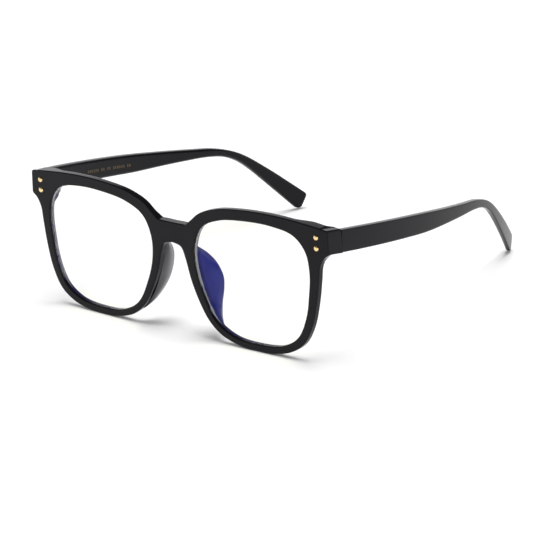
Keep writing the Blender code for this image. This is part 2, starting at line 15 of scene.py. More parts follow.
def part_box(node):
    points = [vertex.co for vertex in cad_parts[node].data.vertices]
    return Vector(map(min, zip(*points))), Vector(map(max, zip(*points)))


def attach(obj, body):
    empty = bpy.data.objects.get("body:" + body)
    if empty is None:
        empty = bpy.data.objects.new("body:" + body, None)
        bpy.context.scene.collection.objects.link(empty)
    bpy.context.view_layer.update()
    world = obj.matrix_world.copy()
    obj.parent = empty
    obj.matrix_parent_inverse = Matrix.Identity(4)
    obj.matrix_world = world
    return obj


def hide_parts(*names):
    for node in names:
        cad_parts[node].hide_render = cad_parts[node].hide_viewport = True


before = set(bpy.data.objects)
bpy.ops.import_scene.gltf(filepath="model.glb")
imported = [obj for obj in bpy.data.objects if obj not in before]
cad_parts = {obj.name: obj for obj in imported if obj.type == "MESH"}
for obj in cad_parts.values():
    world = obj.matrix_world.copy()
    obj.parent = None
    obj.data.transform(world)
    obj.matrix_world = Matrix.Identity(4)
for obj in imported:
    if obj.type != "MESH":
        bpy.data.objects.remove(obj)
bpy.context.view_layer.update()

MM = 0.001

# How far past a boundary a point may be and still count
HAIR = 0.05

SIDES = {"left": 1, "right": -1}
FLOOR_Z = 1.6

# Front
BOW_RADIUS = 1295.0
RIM_DEPTH = 2.8
BRIDGE_DEPTH = 3.9
EDGE_RADIUS = 0.5
BRIDGE_FADE = (4.0, 11.0)
END_PIECE_BACK = 6.4
END_PIECE_BOTTOM = 44.6
END_PIECE_FADE = (56.0, 64.0)
END_PIECE_RISE = (-3.5, -0.5)
ARM_BACK = 9.4
ARM_INNER_X = 68.9
ARM_BOTTOM = 44.9
ARM_FLARE = 0.1
ARM_FLARE_START = 2.0
SIDE_SLOPE = 0.157
SIDE_SLOPE_START = 1.5

# The arms and the temples are made this much too long, and trimmed square where they meet
SEAM_SPARE = 1.0

# Lenses
LENS_DEPTH = 1.3
LENS_MIDDLE = 1.45
LENS_DOME = 0.6
LENS_STEP = -0.08
GROOVE_REACH = 0.55
GROOVE_HALF_WIDTH = 0.42
GROOVE_CLEARANCE = 0.08
LENS_CENTRE = (36.8, 28.4)

# Temples
TEMPLE_START = 9.44
TEMPLE_END = 146.0
TEMPLE_THICKNESS = 3.8
TIP_THICKNESS = 2.6
TIP_TAPER = (95.0, 140.0)
TEMPLE_OUTER_X = 72.1
TEMPLE_SPREAD = 0.115
TEMPLE_CURL = 0.00145
TEMPLE_TIP_CURL = 1.82e-6
TEMPLE_SLICE = 2.0
TEMPLE_EDGE_RADIUS = 1.2

# Above 1, the edges are crisper on the outer face and softer on the inner one
TEMPLE_EDGE_LEAN = 1.8

# Rivets and screws
RIVET_X = 67.0
RIVET_HEIGHTS = {"upper": 50.6, "lower": 46.5}
RIVET_HEAD_RADIUS = 1.08
RIVET_HEAD_HEIGHT = 0.75
RIVET_SHANK_RADIUS = 0.6
RIVET_SHANK_LENGTH = 1.0
FIT_GAP = 0.06

# Lens opening of the wearer's left rim, as (x, z) points on a smooth closed curve
OPENING = [
    (63.2, 36.5), (62.7, 28.5), (61.0, 18.8), (57.0, 10.4), (49.5, 5.7), (38.5, 4.4), (27.5, 5.4),
    (19.0, 10.2), (13.6, 19.6), (10.5, 29.5), (10.6, 38.0), (14.2, 45.5), (22.5, 49.6), (34.0, 51.3),
    (46.5, 51.4), (56.5, 49.4), (61.6, 44.2),
]

# Outer edge of the same half, from the top of the bridge to its underside: smooth stretches between corners
BRIDGE_TOP = [(0.0, 45.3), (6.5, 45.4)]
BROW = [
    (6.5, 45.4), (9.6, 47.9), (12.8, 50.6), (17.0, 52.6), (23.0, 54.3), (33.0, 55.5), (44.0, 55.9),
    (56.0, 55.4), (71.9, 53.8),
]
END_SIDE = [(71.9, 53.8), (72.2, 44.6)]
OUTER_RIM = [
    (72.2, 44.6), (69.9, 42.8), (68.1, 39.5), (67.3, 33.8), (66.0, 25.0), (63.4, 15.0), (59.2, 7.8),
    (53.0, 3.8), (46.0, 2.0), (42.0, 1.6),
]
RIM_BOTTOM = [(42.0, 1.6), (33.0, 1.6)]
NOSE_SIDE = [
    (33.0, 1.6), (27.0, 2.8), (21.6, 4.8), (16.0, 9.3), (11.4, 16.6), (8.2, 24.1), (5.8, 32.4), (4.0, 36.3),
    (0.0, 37.4),
]
NOTCH_RADIUS = 1.2
END_RADIUS = 1.2

# Nose pad: its crest as (z, x, y), and the rim's middle line that it grows from as (z, x)
PAD_CREST = [
    (37.2, 7.1, 3.9), (36.4, 7.4, 4.8), (34.5, 8.2, 7.2), (32.0, 9.2, 9.8), (28.0, 10.8, 12.4),
    (22.5, 12.6, 13.6), (18.0, 13.5, 12.4), (14.0, 14.5, 9.9), (10.0, 16.4, 7.0), (7.6, 18.6, 4.7),
    (7.0, 19.6, 3.7),
]
PAD_FOOT = [(37.2, 7.0), (36.4, 7.2), (30.0, 8.7), (22.0, 11.0), (14.0, 14.6), (7.6, 19.9), (7.0, 21.0)]
PAD_THICKNESS = 3.5
PAD_CREST_RADIUS = 1.15
PAD_BULGE = 0.5
PAD_SINK = 1.0
PAD_NOSE_SHIFT = 0.5
PAD_STATIONS = 60
PAD_SEAT_HALF_WIDTH = 1.5

# Temple side view, as (y, z) points from the hinge to the tip
TEMPLE_TOP = [
    (9.5, 52.4), (22.0, 50.6), (46.0, 46.9), (60.0, 44.6), (75.0, 41.9), (92.0, 38.8), (103.0, 36.7),
    (111.2, 34.0), (117.8, 30.6), (129.7, 21.7), (141.3, 11.9), (146.2, 7.6),
]
TEMPLE_BOTTOM = [
    (142.7, 0.925), (131.6, 12.6), (119.6, 24.6), (114.0, 28.9), (107.5, 32.0), (99.0, 33.8), (88.0, 34.8),
    (75.0, 35.8), (60.0, 37.0), (46.0, 38.8), (22.0, 42.0), (9.5, 43.7),
]
TIP_RADIUS = 1.9

# Marking inside the wearer's right temple: the ends of its middle line as (y, z), and its dashes
MARK_START = (32.2, 44.8)
MARK_END = (57.4, 41.0)
MARK_GROUPS = (6, 2, 2, 6, 2)
MARK_HEIGHT = 1.15
MARK_FILL = 0.5
MARK_RISE = 0.02

# Camera: it looks at this point, in the drawing's millimetres, from this far away
CAMERA_TARGET = (41.4517, 4.2685, 34.2649)
CAMERA_DISTANCE = 1060.0
CAMERA_AZIMUTH = 39.46977
CAMERA_ELEVATION = 19.14345
CAMERA_ROLL = -2.59857
CAMERA_LENS = 196.234
SENSOR_WIDTH = 36.0

# Studio: the sky is bright up to the first height of a direction's z, and dark above the second
SKY_BRIGHT_BELOW = 0.36
SKY_DARK_ABOVE = 0.52
SKY_STRENGTH = 1.1
FLOOR_SIZE = 6000.0
FLOOR_DROP = 0.05

# Lens coating: it fades between these heights, in metres, where the lens turns yellower and less blue towards
# the top as painted shade of the darker surroundings mirrored there; the coating lies only on faces that look
# this much to y
LENS_TOP_SHADE_HEIGHTS = (0.036, 0.051)
COATED_FACING = 0.95


# ---------------------------------------------------------------- plane curves


def smooth_curve(knots, steps, closed=False):
    """Points on a Catmull-Rom curve through the knots, with this many steps between two knots."""
    knots = [Vector(knot) for knot in knots]
    count = len(knots)
    spans = count if closed else count - 1
    points = []
    for i in range(spans):
        b, c = knots[i], knots[(i + 1) % count]
        a = knots[i - 1] if closed or i else b * 2 - c
        d = knots[(i + 2) % count] if closed or i < spans - 1 else c * 2 - b
        points += [blend(a, b, c, d, step / steps) for step in range(steps)]
    return points if closed else points + [knots[-1]]


def blend(a, b, c, d, t):
    """The point at t between b and c on the curve whose tangents come from the knots on either side."""
    before, span, after = (b - a).length ** 0.5, (c - b).length ** 0.5, (d - c).length ** 0.5
    leaving = ((b - a) / before - (c - a) / (before + span) + (c - b) / span) * span
    arriving = ((c - b) / span - (d - b) / (span + after) + (d - c) / after) * span
    t2, t3 = t * t, t * t * t
    ends = b * (2 * t3 - 3 * t2 + 1) + c * (3 * t2 - 2 * t3)
    return ends + leaving * (t3 - 2 * t2 + t) + arriving * (t3 - t2)


def cut_back(points, distance):
    """The points without their last stretch of this length, ending on the point where it began."""
    points = list(points)
    while len(points) > 2 and (points[-1] - points[-2]).length <= distance:
        distance -= (points[-1] - points[-2]).length
        points.pop()
    points[-1] = points[-1] + (points[-2] - points[-1]).normalized() * distance
    return points


def join_with_fillet(first, second, radius, steps=8):
    """Two stretches that meet at a corner, joined with a round of about this radius."""
    corner = first[-1]
    arriving, leaving = corner - first[-2], second[1] - corner
    length = radius * tan(abs(arriving.angle(leaving)) / 2)
    first = cut_back(first, length)
    second = list(reversed(cut_back(list(reversed(second)), length)))
    start, end = first[-1], second[0]
    arc = []
    for step in range(1, steps):
        t = step / steps
        arc.append(start * (1 - t) ** 2 + corner * 2 * t * (1 - t) + end * t**2)
    return first + arc + second


def front_outline(steps=9):
    """The closed outer edge of the front, both halves."""
    half = join_with_fillet(smooth_curve(BRIDGE_TOP, 2), smooth_curve(BROW, steps), NOTCH_RADIUS)
    half = join_with_fillet(half, smooth_curve(END_SIDE, 2), END_RADIUS)
    half = join_with_fillet(half, smooth_curve(OUTER_RIM, steps), END_RADIUS)
    half += smooth_curve(RIM_BOTTOM, 2)[1:] + smooth_curve(NOSE_SIDE, steps)[1:]
    other = [Vector((-p.x, p.y)) for p in reversed(half[1:-1])]
    return half + other


def opening_outline(side=1, reach=0.0, steps=8):
    """The lens opening, grown outwards by reach."""
    points = smooth_curve(OPENING, steps, closed=True)
    grown = []
    for i, point in enumerate(points):
        along = points[(i + 1) % len(points)] - points[i - 1]
        normal = Vector((along.y, -along.x)).normalized()
        if normal.dot(point - Vector(LENS_CENTRE)) < 0:
            normal.negate()
        grown.append(point + normal * reach)
    return [Vector((side * p.x, p.y)) for p in grown]


def temple_outline(steps=8):
    """The closed side view of a temple, as (y, z) points, with some to spare at the hinge end."""
    tip = [Vector(TEMPLE_TOP[-1]), Vector(TEMPLE_BOTTOM[0])]
    outline = join_with_fillet(smooth_curve(TEMPLE_TOP, steps), tip, TIP_RADIUS)
    outline = join_with_fillet(outline, smooth_curve(TEMPLE_BOTTOM, steps), TIP_RADIUS)
    spare = Vector((-SEAM_SPARE, SIDE_SLOPE * SEAM_SPARE))
    return [outline[0] + spare] + outline + [outline[-1] + spare]


# ---------------------------------------------------------------- form of the front and the temples


def ease(value, start, end):
    """0 below start, 1 above end, and a smooth step between them."""
    t = min(max((value - start) / (end - start), 0.0), 1.0)
    return t * t * (3 - 2 * t)


def front_face_y(x):
    """Where the bowed front face is."""
    return x * x / (2 * BOW_RADIUS)


def in_arm(x, z):
    """Whether a point belongs to the arm that runs back from an end piece to its temple."""
    return abs(x) > ARM_INNER_X - HAIR and z > ARM_BOTTOM - HAIR


def front_back_y(x, z):
    """Where the back of the front is: further back at the bridge, the end pieces and their arms."""
    x = abs(x)
    if in_arm(x, z):
        return ARM_BACK
    rim = front_face_y(x) + RIM_DEPTH + (BRIDGE_DEPTH - RIM_DEPTH) * (1 - ease(x, *BRIDGE_FADE))
    end_piece = ease(x, *END_PIECE_FADE) * ease(z - END_PIECE_BOTTOM, *END_PIECE_RISE)
    return rim + (END_PIECE_BACK - rim) * end_piece


def shape_front_point(point):
    """Bows the flat plate, and gives its back and its arms their depth."""
    x, y, z = point
    back = front_back_y(x, z) + (SEAM_SPARE if in_arm(x, z) else 0.0)
    y = front_face_y(x) + y if y < RIM_DEPTH / 2 else back - (RIM_DEPTH - y)
    if in_arm(x, z):
        z -= SIDE_SLOPE * max(0.0, y - SIDE_SLOPE_START)
        x *= 1 + ARM_FLARE * max(0.0, y - ARM_FLARE_START) / abs(x)
    return Vector((x, y, z))


def temple_outer_x(y):
    """Where the outer face of the left temple is: it spreads behind the hinge and curls in at the tip."""
    run = y - ARM_FLARE_START
    return TEMPLE_OUTER_X + TEMPLE_SPREAD * run - TEMPLE_CURL * run**2 - TEMPLE_TIP_CURL * run**3


def temple_thickness(y):
    return TEMPLE_THICKNESS + (TIP_THICKNESS - TEMPLE_THICKNESS) * ease(y, *TIP_TAPER)


def temple_inner_x(y):
    return temple_outer_x(y) - temple_thickness(y)


# ---------------------------------------------------------------- mesh helpers


def spaced(start, end, count):
    """This many evenly spaced places from start to end."""
    return [start + (end - start) * i / (count - 1) for i in range(count)]


def extruded(outlines, depth, edge_radius, rings=3):
    """A bmesh of the area inside the closed outlines, from z = 0 to z = depth, with rounded edges."""
    data = bpy.data.curves.new("outline", "CURVE")
    data.dimensions = "2D"
    data.fill_mode = "BOTH"
    data.extrude = depth / 2 - edge_radius
    data.bevel_depth = edge_radius
    data.bevel_resolution = rings
    data.offset = -edge_radius
    for outline in outlines:
        spline = data.splines.new("POLY")
        spline.points.add(len(outline) - 1)
        for point, place in zip(spline.points, outline):
            point.co = (place[0], place[1], 0, 1)
        spline.use_cyclic_u = True
    curve = bpy.data.objects.new("outline", data)
    bpy.context.scene.collection.objects.link(curve)
    graph = bpy.context.evaluated_depsgraph_get()
    mesh = bpy.data.meshes.new_from_object(curve.evaluated_get(graph))
    bm = bmesh.new()
    bm.from_mesh(mesh)
    bpy.data.meshes.remove(mesh)
    bpy.data.objects.remove(curve, do_unlink=True)
    bmesh.ops.remove_doubles(bm, verts=bm.verts, dist=0.002)
    bmesh.ops.translate(bm, vec=(0, 0, depth / 2), verts=bm.verts)
    bmesh.ops.recalc_face_normals(bm, faces=bm.faces)
    return bm


def slice_along(bm, axis, places):
    """Cuts every face at these places along an axis, so that the shape can bend there."""
    normal = Vector((0, 0, 0))
    normal[axis] = 1
    for place in places:
        geometry = bm.verts[:] + bm.edges[:] + bm.faces[:]
        bmesh.ops.bisect_plane(bm, geom=geometry, dist=1e-4, plane_co=normal * place, plane_no=normal)


def trim(bm, axis, place, keep_above):
    """Cuts the shape off square at this place along an axis."""
    normal = Vector((0, 0, 0))
    normal[axis] = -1 if keep_above else 1
    point = Vector((0, 0, 0))
    point[axis] = place
    geometry = bm.verts[:] + bm.edges[:] + bm.faces[:]
    result = bmesh.ops.bisect_plane(bm, geom=geometry, plane_co=point, plane_no=normal, clear_outer=True)
    edges = [item for item in result["geom_cut"] if isinstance(item, bmesh.types.BMEdge)]
    bmesh.ops.holes_fill(bm, edges=edges)


def loft(loops):
    """A bmesh whose skin runs through closed loops of as many points each, with flat ends."""
    bm = bmesh.new()
    add_skin(bm, loops)
    bmesh.ops.recalc_face_normals(bm, faces=bm.faces)
    return bm


def add_skin(bm, loops):
    """Adds such a skin to a bmesh. Which way its faces look is settled afterwards."""
    rings = [[bm.verts.new(point) for point in loop] for loop in loops]
    count = len(rings[0])
    for near, far in zip(rings, rings[1:]):
        for i in range(count):
            j = (i + 1) % count
            bm.faces.new((near[i], near[j], far[j], far[i]))
    bm.faces.new(list(reversed(rings[0])))
    bm.faces.new(rings[-1])


def turned(profile, base, direction, segments=48):
    """A bmesh turned about the line from base along direction. The profile is (radius, distance) points."""
    place = Matrix.Translation(Vector(base)) @ Vector(direction).to_track_quat("Z", "Y").to_matrix().to_4x4()
    turns = [2 * pi * i / segments for i in range(segments)]
    loops = []
    for radius, height in profile:
        loops.append([place @ Vector((radius * cos(turn), radius * sin(turn), height)) for turn in turns])
    return loft(loops)


def mirrored(bm, side):
    """The same bmesh, or its mirror image for the wearer's right."""
    if side < 0:
        bmesh.ops.transform(bm, matrix=Matrix.Diagonal((-1, 1, 1, 1)), verts=bm.verts)
        bmesh.ops.reverse_faces(bm, faces=bm.faces)
    return bm


def drawing_shift():
    """From the drawing's zero to the frame's: the bridge is the foremost point of the front."""
    low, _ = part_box("front_frame")
    return Vector((0.0, low.y / MM, low.z / MM - FLOOR_Z))


def new_object(name, bm, shift, material=None):
    """An object in the frame, in metres, from a bmesh in the drawing's millimetres."""
    bmesh.ops.transform(bm, matrix=Matrix.Scale(MM, 4) @ Matrix.Translation(shift), verts=bm.verts)
    mesh = bpy.data.meshes.new(name)
    bm.to_mesh(mesh)
    bm.free()
    obj = bpy.data.objects.new(name, mesh)
    bpy.context.scene.collection.objects.link(obj)
    if material:
        mesh.materials.append(material)
    return obj


def finish_piece(obj, body, slot, *replaced, sharp_angle=40):
    """Smooth shading with flat faces kept flat, and the piece's place in the frame."""
    obj.data.shade_smooth()
    obj.data.set_sharp_from_angle(angle=radians(sharp_angle))
    weighted = obj.modifiers.new("weighted normals", "WEIGHTED_NORMAL")
    weighted.keep_sharp = True
    weighted.weight = 60
    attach(obj, body)
    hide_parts(*replaced)
    return obj


def cut(obj, cutters):
    """Takes the cutters out of the object, and removes them."""
    for cutter in cutters:
        modifier = obj.modifiers.new("cut", "BOOLEAN")
        modifier.operation = "DIFFERENCE"
        modifier.solver = "EXACT"
        modifier.object = cutter
    graph = bpy.context.evaluated_depsgraph_get()
    mesh = bpy.data.meshes.new_from_object(obj.evaluated_get(graph))
    obj.modifiers.clear()
    obj.data = mesh
    for cutter in cutters:
        bpy.data.objects.remove(cutter, do_unlink=True)


# ---------------------------------------------------------------- pieces


def lens_loops(clearance):
    """Loops across a lens with a bevelled edge: over its front, round its edge and back over its rear."""
    centre = Vector(LENS_CENTRE)
    half, edge = LENS_DEPTH / 2 + clearance, GROOVE_HALF_WIDTH + clearance
    shares = [0.02, 0.15, 0.3, 0.45, 0.6, 0.74, 0.86, 0.95]
    stops = [(share, LENS_STEP, -half) for share in shares]
    stops += [(1.0, LENS_STEP, -half), (1.0, LENS_STEP, -edge), (1.0, GROOVE_REACH + clearance, 0.0)]
    stops += [(1.0, LENS_STEP, edge), (1.0, LENS_STEP, half)]
    stops += [(share, LENS_STEP, half) for share in reversed(shares)]
    loops = []
    for share, reach, depth in stops:
        loop = []
        for point in opening_outline(reach=reach):
            place = centre + (point - centre) * share
            dome = -LENS_DOME * (1 - share**2)
            loop.append(Vector((place.x, front_face_y(place.x) + LENS_MIDDLE + depth + dome, place.y)))
        loops.append(loop)
    return loops


def slice_front(bm):
    """Cuts the flat plate of the front wherever its back changes depth."""
    stations = spaced(*BRIDGE_FADE, 8) + spaced(BRIDGE_FADE[1], END_PIECE_FADE[0], 12)
    stations += spaced(*END_PIECE_FADE, 7) + [ARM_INNER_X - 0.4, ARM_INNER_X]
    slice_along(bm, 0, [0.0] + stations + [-x for x in stations])
    rises = spaced(*END_PIECE_RISE, 7) + [0.0]
    slice_along(bm, 2, [END_PIECE_BOTTOM + rise for rise in rises] + [ARM_BOTTOM])


def make_front(shift, materials):
    outlines = [front_outline(), opening_outline(1), opening_outline(-1)]
    bm = extruded(outlines, RIM_DEPTH, EDGE_RADIUS)
    stand_up = Matrix(((1, 0, 0, 0), (0, 0, -1, RIM_DEPTH), (0, 1, 0, 0), (0, 0, 0, 1)))
    bmesh.ops.transform(bm, matrix=stand_up, verts=bm.verts)
    slice_front(bm)
    for vert in bm.verts:
        vert.co = shape_front_point(vert.co)
    trim(bm, 1, ARM_BACK, keep_above=False)
    bmesh.ops.triangulate(bm, faces=bm.faces)
    front = new_object("front_frame_smooth", bm, shift, materials["acetate"])
    cutters = []
    for side in SIDES.values():
        cutters.append(new_object("groove", mirrored(loft(lens_loops(GROOVE_CLEARANCE)), side), shift))
    cut(front, cutters)
    return finish_piece(front, "front", "acetate", "front_frame")


def make_lens(side_name, side, shift, materials):
    bm = mirrored(loft(lens_loops(0.0)), side)
    lens = new_object(f"lens_{side_name}_coated", bm, shift, materials["lens"])
    return finish_piece(lens, "front", "lens", f"lens_{side_name}", sharp_angle=30)


def between(table, z):
    """The row of a table of (z, ...) rows at this z, on the smooth curve through its rows."""
    rows = smooth_curve(table, 12)
    for above, below in zip(rows, rows[1:]):
        if above[0] >= z >= below[0]:
            return above.lerp(below, (above[0] - z) / max(above[0] - below[0], 1e-9))
    return rows[0] if z > rows[0][0] else rows[-1]


def pad_section(crest, foot_x, back_y, side_steps=12, cap_steps=14):
    """A pad's level section at one height: from the rim's back out to the rounded crest and back."""
    foot = Vector((foot_x, back_y))
    tip = Vector((crest[1], crest[2]))
    along = (tip - foot).normalized()
    across = Vector((along.y, -along.x))
    reach = max((tip - foot).length - PAD_CREST_RADIUS, 0.3)
    centre = foot + along * reach
    half = PAD_THICKNESS / 2
    start = atan2(across.y, across.x)
    near, far = [], []
    for step in range(side_steps):
        t = step / side_steps
        width = half + (PAD_CREST_RADIUS - half) * t + PAD_BULGE * sin(pi * t)
        near.append(foot + along * reach * t + across * width)
        far.append(foot + along * reach * t - across * width)
    cap = []
    for step in range(cap_steps + 1):
        angle = start + pi * step / cap_steps
        cap.append(centre + Vector((cos(angle), sin(angle))) * PAD_CREST_RADIUS)
    return [Vector((p.x, max(p.y, back_y))) for p in near + cap + list(reversed(far))]


def make_nose_pad(side_name, side, shift, materials):
    loops = []
    low, high = PAD_CREST[-1][0], PAD_CREST[0][0]
    for z in spaced(low, high, PAD_STATIONS + 1):
        crest = between(PAD_CREST, z)
        foot = between(PAD_FOOT, z)
        seat = (foot[1] - PAD_SEAT_HALF_WIDTH, foot[1] + PAD_SEAT_HALF_WIDTH)
        back_y = max(front_back_y(x, z) for x in seat) - PAD_SINK
        loops.append([Vector((p.x, p.y, z)) for p in pad_section(crest, foot[1] - PAD_NOSE_SHIFT, back_y)])
    bm = mirrored(loft(loops), side)
    pad = new_object(f"nose_pad_{side_name}_polished", bm, shift, materials["pad"])
    return finish_piece(pad, "front", "nose_pad", f"nose_pad_{side_name}", sharp_angle=70)


def dome_profile(radius, height, shank_radius, shank_end, rings=10):
    """Profile of a round-headed pin: a dome from -height up to 0, and a shank that goes on to shank_end."""
    turns = [pi / 2 * (i + 0.2) / rings for i in range(rings)]
    dome = [(radius * sin(turn), -height * cos(turn)) for turn in turns]
    return dome + [(radius, 0.0), (shank_radius, 0.0), (shank_radius, shank_end)]


def make_front_rivet(height_name, z, side_name, side, shift, materials):
    face = front_face_y(RIVET_X) - FIT_GAP / 2
    profile = dome_profile(RIVET_HEAD_RADIUS, RIVET_HEAD_HEIGHT, RIVET_SHANK_RADIUS, RIVET_SHANK_LENGTH)
    bm = turned(profile, (side * RIVET_X, face, z), (0, 1, 0))
    name = f"front_rivet_{height_name}_{side_name}"
    rivet = new_object(f"{name}_domed", bm, shift, materials["gold"])
    return finish_piece(rivet, "front", "gold", name, sharp_angle=50)


def make_temple(side_name, side, shift, materials):
    bm = extruded([temple_outline()], TEMPLE_THICKNESS, TEMPLE_EDGE_RADIUS)
    lay_on_side = Matrix(((0, 0, 1, 0), (1, 0, 0, 0), (0, 1, 0, 0), (0, 0, 0, 1)))
    bmesh.ops.transform(bm, matrix=lay_on_side, verts=bm.verts)
    trim(bm, 1, TEMPLE_START, keep_above=True)
    slices = int((TEMPLE_END - TEMPLE_START) / TEMPLE_SLICE)
    slice_along(bm, 1, [TEMPLE_START + TEMPLE_SLICE * i for i in range(1, slices + 1)])
    for vert in bm.verts:
        share = 1 - max(1 - vert.co.x / TEMPLE_THICKNESS, 0.0) ** TEMPLE_EDGE_LEAN
        vert.co.x = temple_inner_x(vert.co.y) + share * temple_thickness(vert.co.y)
    bmesh.ops.triangulate(bm, faces=bm.faces)
    bmesh.ops.recalc_face_normals(bm, faces=bm.faces)
    temple = new_object(f"temple_{side_name}_smooth", mirrored(bm, side), shift, materials["acetate"])
    return finish_piece(temple, f"temple_{side_name}", "acetate", f"temple_{side_name}")


def dash_loops(start, width):
    """The outer and inner corners of one dash on the inner face of the wearer's right temple."""
    slope = (MARK_END[1] - MARK_START[1]) / (MARK_END[0] - MARK_START[0])
    loops = []
    for rise in (-MARK_RISE, MARK_RISE):
        loop = []
        for along, up in ((0.0, -0.5), (width, -0.5), (width, 0.5), (0.0, 0.5)):
            y = start + along
            z = MARK_START[1] + slope * (y - MARK_START[0]) + up * MARK_HEIGHT
            loop.append(Vector((rise - temple_inner_x(y), y, z)))
        loops.append(loop)
    return loops


def make_marking(shift, materials):
    """A row of plain dashes, in place of the line that is printed inside such a temple."""
    step = (MARK_END[0] - MARK_START[0]) / (sum(MARK_GROUPS) + len(MARK_GROUPS) - 1)
    bm = bmesh.new()
    place = MARK_START[0]
    for count in MARK_GROUPS:
        for _ in range(count):
            add_skin(bm, dash_loops(place, MARK_FILL * step))
            place += step
        place += step
    bmesh.ops.recalc_face_normals(bm, faces=bm.faces)
    marking = new_object("temple_marking", bm, shift, materials["marking"])
    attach(marking, "temple_right")


def finish_kept_nodes(steel, sharp_angle=35):
    """The hinge leaves and the screws stay the CAD's own nodes, with a material and smooth rounds."""
    for name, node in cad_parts.items():
        if name.startswith(("hinge_", "temple_screw_")):
            node.data.materials.clear()
            node.data.materials.append(steel)
            node.data.shade_smooth()
            node.data.set_sharp_from_angle(angle=radians(sharp_angle))


# ---------------------------------------------------------------- materials


def new_material(name):
    """A material with a Principled BSDF, with its nodes and links."""
    material = bpy.data.materials.new(name)
    material.use_nodes = True
    return material, material.node_tree.nodes, material.node_tree.links


def noise(nodes, links, scale, detail=4.0, stretch=(1.0, 1.0, 1.0)):
    """Noise in the object's own space, so that it stays on the piece as the piece moves."""
    place = nodes.new("ShaderNodeTexCoord")
    mapping = nodes.new("ShaderNodeMapping")
    mapping.inputs["Scale"].default_value = stretch
    texture = nodes.new("ShaderNodeTexNoise")
    texture.inputs["Scale"].default_value = scale
    texture.inputs["Detail"].default_value = detail
    links.new(place.outputs["Object"], mapping.inputs["Vector"])
    links.new(mapping.outputs["Vector"], texture.inputs["Vector"])
    return texture


def ramp(nodes, links, source, stops):
    """The source's value turned into a colour by (position, colour) stops."""
    node = nodes.new("ShaderNodeValToRGB")
    elements = node.color_ramp.elements
    while len(elements) < len(stops):
        elements.new(0.5)
    for element, (position, colour) in zip(elements, stops):
        element.position = position
        element.color = (*colour, 1.0)
    links.new(source, node.inputs["Fac"])
    return node.outputs["Color"]


def spread(nodes, links, source, low, high):
    """The source's 0 to 1 as low to high."""
    node = nodes.new("ShaderNodeMapRange")
    node.inputs["To Min"].default_value = low
    node.inputs["To Max"].default_value = high
    links.new(source, node.inputs["Value"])
    return node.outputs["Result"]


def arithmetic(nodes, links, operation, source, value=0.0):
    """The result of a Math node on the source and a fixed value."""
    node = nodes.new("ShaderNodeMath")
    node.operation = operation
    links.new(source, node.inputs[0])
    node.inputs[1].default_value = value
    return node.outputs["Value"]


def mix(nodes, links, factor, first, second):
    """A colour between two others. Each is a socket or a fixed colour."""
    node = nodes.new("ShaderNodeMix")
    node.data_type = "RGBA"
    links.new(factor, node.inputs["Factor"])
    for name, colour in (("A", first), ("B", second)):
        if isinstance(colour, tuple):
            node.inputs[name].default_value = (*colour, 1.0)
        else:
            links.new(colour, node.inputs[name])
    return node.outputs["Result"]


def add_bump(nodes, links, source, strength, distance):
    """Relief for the Principled BSDF, with its depth in metres."""
    bump = nodes.new("ShaderNodeBump")
    bump.inputs["Strength"].default_value = strength
    bump.inputs["Distance"].default_value = distance
    links.new(source, bump.inputs["Height"])
    links.new(bump.outputs["Normal"], nodes["Principled BSDF"].inputs["Normal"])


def acetate_material(name, dark, light, rough, level):
    """Polished acetate: nearly black, with a faint clouding and the slight waviness of hand polishing."""
    material, nodes, links = new_material(name)
    shader = nodes["Principled BSDF"]
    cloud = noise(nodes, links, 90.0, 3.0)
    colour = ramp(nodes, links, cloud.outputs["Fac"], [(0.3, dark), (0.75, light)])
    links.new(colour, shader.inputs["Base Color"])
    smears = noise(nodes, links, 260.0, 5.0, (1.0, 0.35, 1.0))
    links.new(spread(nodes, links, smears.outputs["Fac"], *rough), shader.inputs["Roughness"])
    shader.inputs["IOR"].default_value = 1.49
    shader.inputs["Specular IOR Level"].default_value = level
    shader.inputs["Specular Tint"].default_value = (0.94, 0.93, 1.0, 1.0)
    polish = noise(nodes, links, 140.0, 2.0)
    add_bump(nodes, links, polish.outputs["Fac"], 0.12, 0.00004)
    return material


def lens_tint_and_top_shade(nodes, links, height):
    """The colour of what is seen through the lens: its own faint yellow tint, and a little more yellow near
    the top as painted shade.
    """
    through = nodes.new("ShaderNodeBsdfTransparent")
    # Painted shade: the extra yellow near the top stands for the darker surroundings that the top of the lens
    # mirrors; the rest is the lens's own tint.
    tint = ramp(nodes, links, height, [(0.0, (0.992, 0.988, 0.908)), (1.0, (0.990, 0.982, 0.890))])
    links.new(tint, through.inputs["Color"])
    return through.outputs["BSDF"]


def lens_coating(nodes, links, height, normal):
    """Blue and violet reflections on the two broad faces, with less blue near the top as painted shade, and
    plain ones on the bevelled edge.
    """
    coating = nodes.new("ShaderNodeBsdfGlossy")
    coating.inputs["Roughness"].default_value = 0.02
    film = noise(nodes, links, 45.0, 2.0)
    blues = [(0.3, (0.003, 0.006, 0.070)), (0.7, (0.005, 0.006, 0.078))]
    blue = ramp(nodes, links, film.outputs["Fac"], blues)
    # Painted shade: the coating turns less blue near the top, for the darker surroundings mirrored there.
    blue_and_top_shade = mix(nodes, links, height, blue, (0.008, 0.009, 0.062))
    facing = nodes.new("ShaderNodeSeparateXYZ")
    links.new(normal, facing.inputs["Vector"])
    slope = arithmetic(nodes, links, "ABSOLUTE", facing.outputs["Y"])
    broad = arithmetic(nodes, links, "GREATER_THAN", slope, COATED_FACING)
    links.new(mix(nodes, links, broad, (0.2, 0.2, 0.21), blue_and_top_shade), coating.inputs["Color"])
    return coating.outputs["BSDF"]


